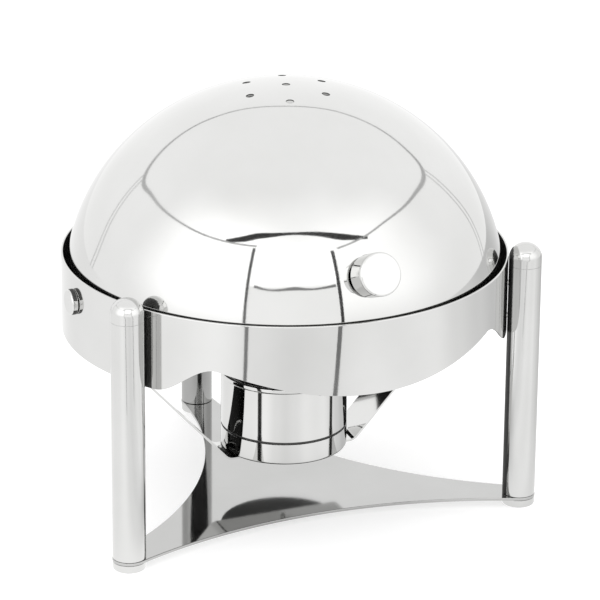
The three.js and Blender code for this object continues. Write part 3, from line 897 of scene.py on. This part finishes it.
def floor():
    made = bmesh.new()
    bmesh.ops.create_grid(made, x_segments=8, y_segments=8, size=9)
    mesh = bpy.data.meshes.new("floor")
    made.to_mesh(mesh)
    made.free()
    piece = bpy.data.objects.new("floor", mesh)
    bpy.context.scene.collection.objects.link(piece)
    nodes = Nodes("floor_paint")
    nodes.link(
        nodes.ramp(nodes.noise(3.0), [(0.3, (0.49, 0.49, 0.49)), (0.7, (0.51, 0.51, 0.51))]),
        "Base Color",
    )
    nodes.set(Roughness=0.8, Specular_IOR_Level=0.2)
    nodes.set(Emission_Color=(1, 1, 1, 1), Emission_Strength=0.6)
    mesh.materials.append(nodes.material)


def camera():
    """The view from slightly above and to the left, with a long lens."""
    azimuth, elevation = math.radians(-23.01), math.radians(20.69)
    back = Vector(
        (
            math.sin(azimuth) * math.cos(elevation),
            -math.cos(azimuth) * math.cos(elevation),
            math.sin(elevation),
        )
    )
    target = AXIS + Vector((0, 0, 0.1985))
    data = bpy.data.cameras.new("camera")
    data.sensor_width = 36
    data.lens = 222
    data.clip_start, data.clip_end = 0.1, 60
    piece = bpy.data.objects.new("camera", data)
    bpy.context.scene.collection.objects.link(piece)
    roll = Quaternion((0, 0, 1), math.radians(0.496))
    level = (-back).to_track_quat("-Z", "Y") @ roll
    piece.location = target + back * 3.625
    aim = target + level @ Vector((0.01523, 0.00508, 0))
    piece.rotation_mode = "QUATERNION"
    piece.rotation_quaternion = (aim - piece.location).to_track_quat("-Z", "Y") @ roll
    bpy.context.scene.camera = piece


def area(name, place, size, power, target=(0, 0, 0.2)):
    data = bpy.data.lights.new(name, "AREA")
    data.shape = "RECTANGLE"
    data.size, data.size_y = size
    data.energy = power
    light = bpy.data.objects.new(name, data)
    bpy.context.scene.collection.objects.link(light)
    light.location = place
    light.rotation_mode = "QUATERNION"
    light.rotation_quaternion = (Vector(target) - Vector(place)).to_track_quat("-Z", "Y")
    return light


def on_tent(azimuth, elevation, distance=3.0):
    """A point of the light tent. Azimuth 0 is to the front and 90 to the right, in degrees."""
    a, e = math.radians(azimuth), math.radians(elevation)
    return Vector(
        (math.sin(a) * math.cos(e), -math.cos(a) * math.cos(e), math.sin(e))
    ) * distance + Vector((0, 0, 0.25))


def only_reflected(piece):
    """Makes a piece show in polished steel, and nowhere else."""
    piece.visible_camera = False
    piece.visible_diffuse = False
    piece.visible_shadow = False
    piece.visible_transmission = False


def bump_shape(value, centre, reach, edge):
    """1 near centre, falling smoothly to 0 beyond reach, over edge degrees."""
    t = min(max((reach + edge - abs(value - centre)) / edge, 0), 1)
    return t * t * (3 - 2 * t)


def tent_level(azimuth, elevation):
    """How bright the tent's cloth is in a direction."""
    level = 1.25
    for centre, reach, gain in TENT_LAMPS:
        level += gain * bump_shape(azimuth, centre, reach, 45) * bump_shape(elevation, 26, 12, 26)
    level += 0.13 * bump_shape(azimuth, -19, 30, 40) * bump_shape(elevation, 52, 8, 14)
    if elevation < 18:
        level -= 0.05 * bump_shape(elevation, -10, 10, 18)
    return level


TENT_LAMPS = ((-60, 12, 0.58), (22, 12, 0.39))


def glow_mesh(name, rows, levels, material):
    """A grid of points whose light varies from corner to corner."""
    mesh = bpy.data.meshes.new(name)
    wide = len(rows[0])
    faces = [
        (j * wide + i, j * wide + i + 1, (j + 1) * wide + i + 1, (j + 1) * wide + i)
        for j in range(len(rows) - 1)
        for i in range(wide - 1)
    ]
    mesh.from_pydata([p for row in rows for p in row], [], faces)
    glow = mesh.attributes.new("glow", "FLOAT", "POINT")
    glow.data.foreach_set("value", [v for row in levels for v in row])
    mesh.materials.append(material)
    piece = bpy.data.objects.new(name, mesh)
    bpy.context.scene.collection.objects.link(piece)
    only_reflected(piece)
    return piece


def glow_cloth(name):
    """An emitter whose strength is the mesh's glow attribute."""
    material = emitter(name, 1.0)
    tree = material.node_tree
    level = tree.nodes.new("ShaderNodeAttribute")
    level.attribute_name = "glow"
    glow = next(n for n in tree.nodes if n.type == "EMISSION")
    tree.links.new(level.outputs["Fac"], glow.inputs["Strength"])
    return material


def tent_cloth():
    azimuths = range(-180, 181, 4)
    elevations = range(-8, 91, 4)
    rows = [[on_tent(a, e, 3.2) for a in azimuths] for e in elevations]
    levels = [[tent_level(a, e) for a in azimuths] for e in elevations]
    glow_mesh("tent_cloth", rows, levels, glow_cloth("tent_cloth"))


def tent_panel(name, corners, strength):
    """A flat patch of the tent between four (azimuth, elevation) corners."""
    (a0, e0), (a1, e1), (a2, e2), (a3, e3) = corners
    steps = 12
    rows = []
    for j in range(steps + 1):
        t = j / steps
        left = (a0 + (a3 - a0) * t, e0 + (e3 - e0) * t)
        right = (a1 + (a2 - a1) * t, e1 + (e2 - e1) * t)
        rows.append(
            [
                on_tent(
                    left[0] + (right[0] - left[0]) * i / steps,
                    left[1] + (right[1] - left[1]) * i / steps,
                )
                for i in range(steps + 1)
            ]
        )
    levels = [[strength] * (steps + 1)] * (steps + 1)
    glow_mesh(name, rows, levels, emitter(name, strength))


def smooth(values, steps=6):
    """A smooth curve through values, in even steps between each pair."""
    padded = [2 * values[0] - values[1], *values, 2 * values[-1] - values[-2]]
    curve = []
    for a, b, c, d in zip(padded, padded[1:], padded[2:], padded[3:]):
        for k in range(steps):
            t = k / steps
            bend = (2 * a - 5 * b + 4 * c - d) * t * t + (3 * b - a - 3 * c + d) * t**3
            curve.append((2 * b + (c - a) * t + bend) / 2)
    return curve + [values[-1]]


def moved(path, shift):
    return [(azimuth + shift, elevation) for azimuth, elevation in path]


def seam(name, path, width, strength):
    """A narrow smooth strip of the tent through (azimuth, elevation) points, width in degrees."""
    azimuths, elevations = (smooth(values) for values in zip(*path))
    widths = smooth(width) if isinstance(width, tuple) else [width] * len(azimuths)
    centres = [on_tent(a, e, 2.95) for a, e in zip(azimuths, elevations)]
    hub = Vector((0, 0, 0.25))
    rows = [[], []]
    for i, (centre, here) in enumerate(zip(centres, widths)):
        along = centres[min(i + 1, len(centres) - 1)] - centres[max(i - 1, 0)]
        across = along.cross(centre - hub).normalized() * 2.95 * math.radians(here) / 2
        rows[0].append(centre - across)
        rows[1].append(centre + across)
    glow_mesh(name, rows, [[strength] * len(centres)] * 2, emitter(name, strength))


# Where two joins of the tent lie on the floor: metres from the lid's axis, to the right and back.
FLOOR_SEAMS = (
    ((-0.40, -0.48), (-1.97, -2.43)),
    ((-0.045, -0.53), (0.46, -3.0)),
)


def floor_seam(name, ends, strength):
    """A strip on the floor that widens from near the object to the tent's wall."""
    near, far = (AXIS + Vector((*end, 0.001)) for end in ends)
    side = (far - near).cross(Vector((0, 0, 1))).normalized()
    rows = [[near - side * 0.008, far - side * 0.06], [near + side * 0.008, far + side * 0.06]]
    glow_mesh(name, rows, [[strength] * 2] * 2, emitter(name, strength))


# How bright the floor looks in the steel, by azimuth. It repeats after a full turn.
FLOOR_GLOW = (
    (-180, 1.08), (-152, 1.10), (-110, 1.22), (-77, 1.24), (-55, 1.34), (-35, 1.14),
    (-20, 1.07), (-5, 1.13), (14, 1.24), (32, 1.20), (48, 1.24), (63, 1.08), (80, 0.92),
    (96, 0.76), (112, 0.72), (130, 0.9), (150, 1.02), (180, 1.08),
)
FLOOR_FADE = ((0.0, 0.5), (0.12, 0.75), (0.2, 0.95), (0.26, 1.0), (3.2, 1.0))


def floor_level(azimuth):
    for (a, low), (b, high) in zip(FLOOR_GLOW, FLOOR_GLOW[1:]):
        if a <= azimuth <= b:
            t = (azimuth - a) / (b - a)
            return low + (high - low) * t * t * (3 - 2 * t)
    return FLOOR_GLOW[0][1]


def floor_sheet():
    """What polished steel sees of the floor: uneven light, and shade under the dish."""
    azimuths = range(-180, 181, 2)
    rows = []
    levels = []
    for reach, fade in FLOOR_FADE:
        rows.append([])
        levels.append([])
        for azimuth in azimuths:
            a = math.radians(azimuth)
            out = Vector((math.sin(a), -math.cos(a), 0)) * reach
            rows[-1].append(AXIS + out + Vector((0, 0, 0.0004)))
            levels[-1].append(floor_level(azimuth) * fade)
    glow_mesh("floor_sheet", rows, levels, glow_cloth("floor_sheet"))


def studio():
    world = bpy.data.worlds.new("studio")
    world.use_nodes = True
    background = world.node_tree.nodes["Background"]
    background.inputs["Color"].default_value = (1.0, 1.0, 1.0, 1)
    background.inputs["Strength"].default_value = 1.25
    bpy.context.scene.world = world
    bpy.context.scene.view_settings.view_transform = "Standard"
    softbox = area("top_softbox", (-0.5, -0.8, 2.6), (2.6, 2.2), 26)
    softbox.visible_glossy = False

    tent_cloth()
    floor_sheet()
    tent_panel("under_window", [(-41.5, -6), (4.5, -6), (4.5, 21), (-41.5, 21)], 1.32)
    tent_panel("front_window", [(-40, 22.5), (5, 22), (5, 44), (-40, 46)], 2.1)
    lintel = ((-62, 41.5), (-50, 45), (-40, 48), (-19, 50), (0, 48.5), (16, 44), (32, 39))
    seam("lintel", lintel, (1.4, 3.2, 3.0, 1.5, 2.4, 3.4, 1.4), 0.06)
    sill = ((-39, 21), (-30, 19.6), (-18, 20.6), (-8, 19.8), (4, 20.4))
    seam("sill", sill, (1.6, 1.0, 1.8, 1.0, 1.6), 0.30)
    seam("post_left", ((-42.4, 41), (-42.4, 20), (-42.4, -4)), 1.5, 0.10)
    seam("post_right", ((6.5, 38.5), (5.6, 20), (5.6, -4)), 1.7, 0.08)
    floor_seam("post_left_foot", FLOOR_SEAMS[0], 0.25)
    floor_seam("post_right_foot", FLOOR_SEAMS[1], 0.25)
    edge = (
        (-41, 42.2), (-75, 40.2), (-100, 38.2), (-127, 33.8), (-144, 29.4), (-165, 36),
        (-182, 42.5), (-203, 46.8), (-225, 42), (-245, 34.5), (-258, 30), (-280, 36),
        (-308, 40.5), (-331, 40), (-350, 39),
    )
    widths = (1.0, 0.9, 0.9, 1.3, 1.9, 1.3, 0.9, 0.8, 0.9, 1.3, 1.9, 1.3, 0.9, 0.9, 1.0)
    seam("ceiling_edge", edge, widths, 0.6)
    for name, shift in (("near", 0.0), ("far", 2.6)):
        left = ((-143.8, 29.4), (-139.4, 15.5), (-137.1, 2.7), (-140, -7))
        seam(f"corner_left_{name}", moved(left, -shift), 0.7, 0.74)
        right = ((101.4, 30.2), (101.1, 17.3), (102.1, 5.5), (101.3, -6))
        seam(f"corner_right_{name}", moved(right, shift), 0.7, 0.74)


base_plate()
legs()
band()
inner_frame()
lid()
knob()
pan("water_pan", "water_pan_body", 183, 174, 246.8, 187, 30, PAN_STEEL)
pan("food_pan", "food_pan_body", 178, 169, 248.1, 200, 26, PAN_STEEL)
burner_strap()
burner()
dress_frame()
floor()
camera()
studio()
